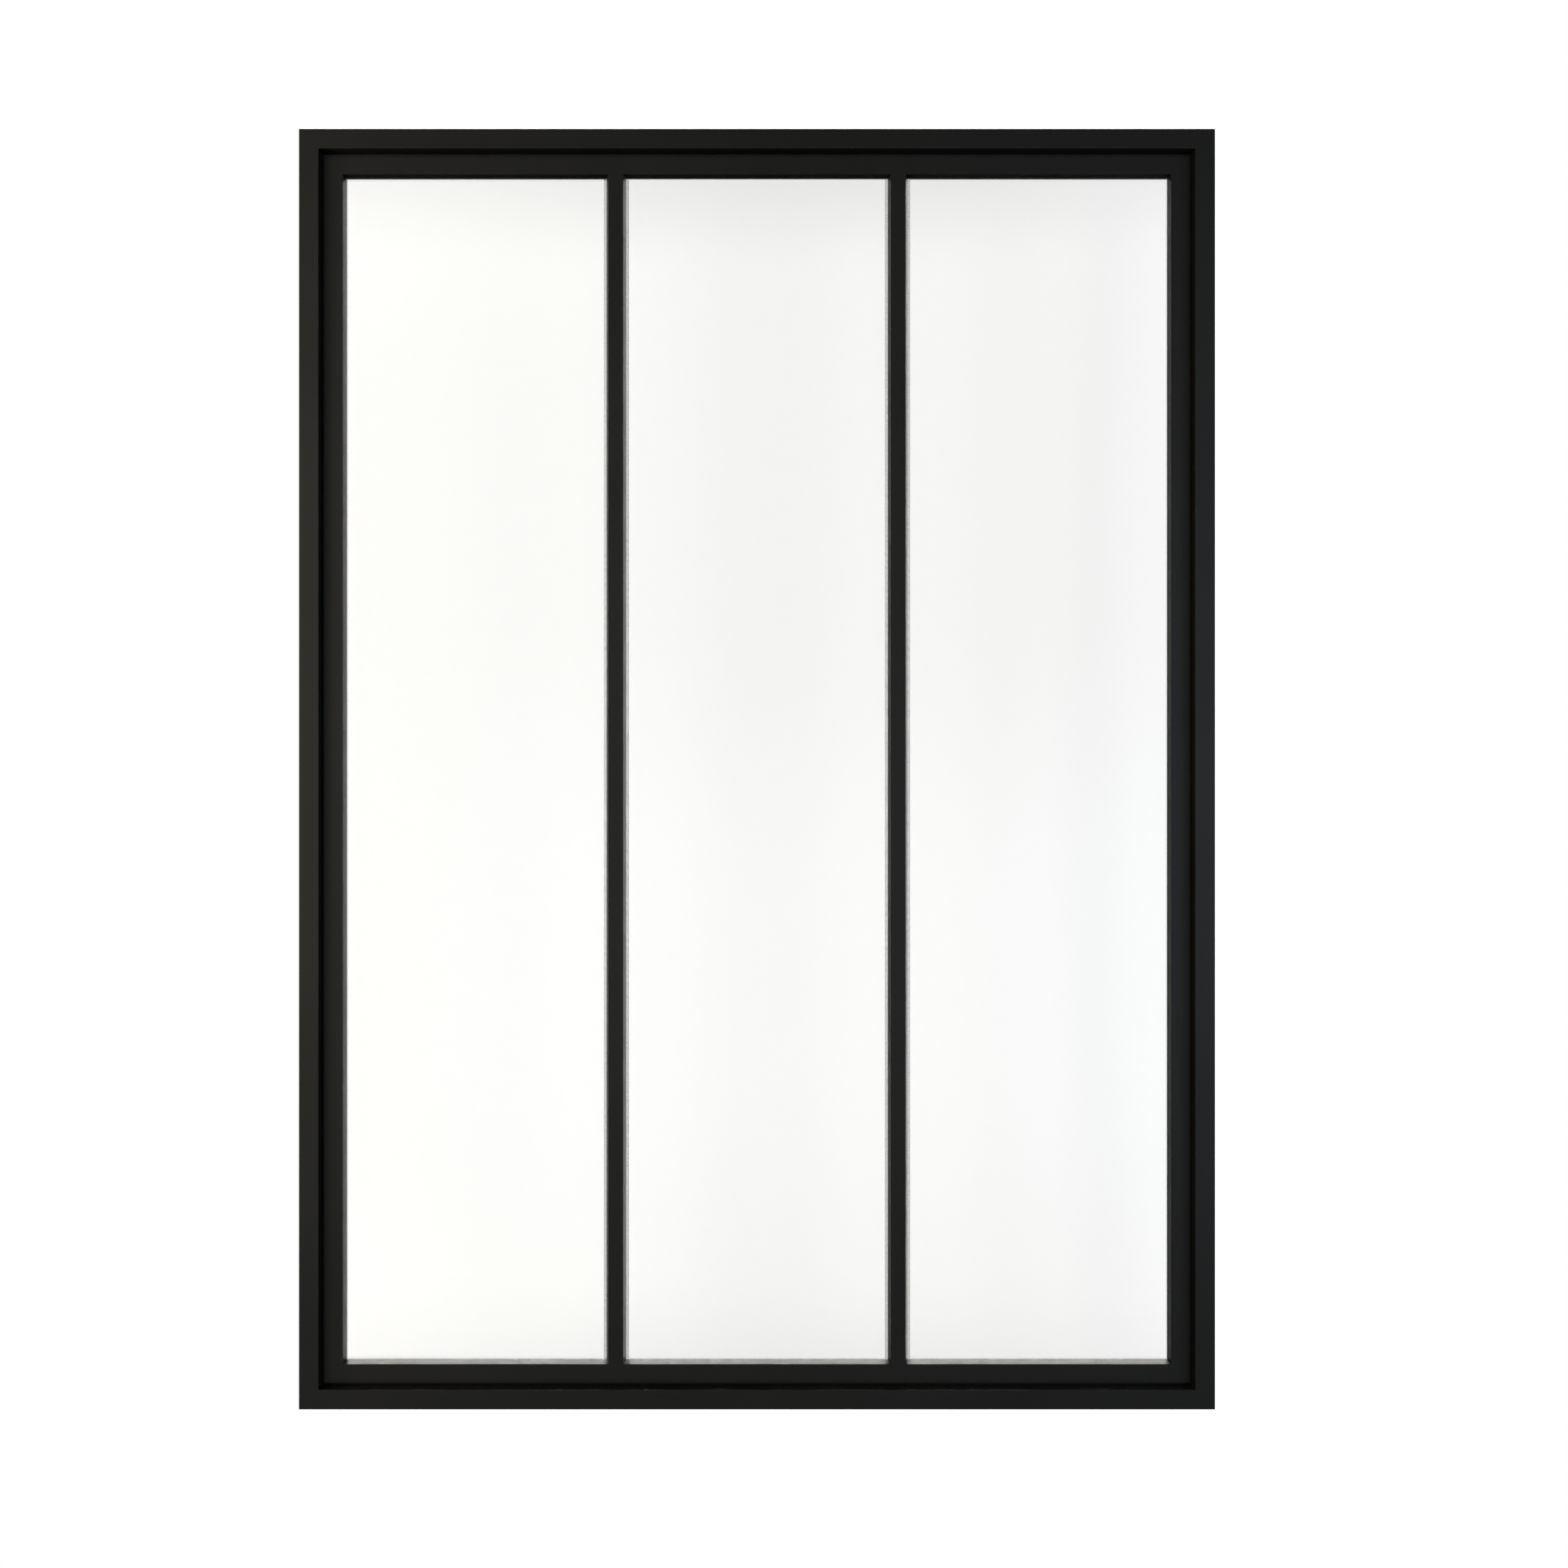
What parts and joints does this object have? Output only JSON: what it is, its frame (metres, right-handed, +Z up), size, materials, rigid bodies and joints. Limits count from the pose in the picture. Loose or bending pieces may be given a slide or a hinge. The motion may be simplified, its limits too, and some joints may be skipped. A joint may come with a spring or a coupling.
{
  "type": "interior glass partition",
  "caption": "Fixed interior glass partition: slim near-black metal frame with upright mullions and tall clear panes, for an opening above a low wall.",
  "frame": {"origin": "middle of the underside of the outer frame's sill, which lies on the wall's sill", "axes": "+X along the width to the right seen from the front, +Z up, -Y out of the front face that the picture shows"},
  "size_m": [0.93, 0.048, 1.3],
  "materials": {
    "powder_coated_aluminium": "satin",
    "clear_glass": "polished",
    "glazing_seal": "satin",
    "black_seal": "matte"
  },
  "bodies": {
    "root": {"glazing_bottom_rail": "powder_coated_aluminium", "glazing_left_stile": "powder_coated_aluminium", "glazing_right_stile": "powder_coated_aluminium", "glazing_top_rail": "powder_coated_aluminium", "left_front_seal": "glazing_seal", "left_glass_pane": "clear_glass", "left_mullion": "powder_coated_aluminium", "left_pane_bottom_bead": "powder_coated_aluminium", "left_pane_left_bead": "powder_coated_aluminium", "left_pane_right_bead": "powder_coated_aluminium", "left_pane_top_bead": "powder_coated_aluminium", "left_rear_seal": "glazing_seal", "middle_front_seal": "glazing_seal", "middle_glass_pane": "clear_glass", "middle_pane_bottom_bead": "powder_coated_aluminium", "middle_pane_left_bead": "powder_coated_aluminium", "middle_pane_right_bead": "powder_coated_aluminium", "middle_pane_top_bead": "powder_coated_aluminium", "middle_rear_seal": "glazing_seal", "outer_head": "powder_coated_aluminium", "outer_left_jamb": "powder_coated_aluminium", "outer_right_jamb": "powder_coated_aluminium", "outer_sill": "powder_coated_aluminium", "perimeter_seal": "black_seal", "right_front_seal": "glazing_seal", "right_glass_pane": "clear_glass", "right_mullion": "powder_coated_aluminium", "right_pane_bottom_bead": "powder_coated_aluminium", "right_pane_left_bead": "powder_coated_aluminium", "right_pane_right_bead": "powder_coated_aluminium", "right_pane_top_bead": "powder_coated_aluminium", "right_rear_seal": "glazing_seal"}
  },
  "joints": []
}
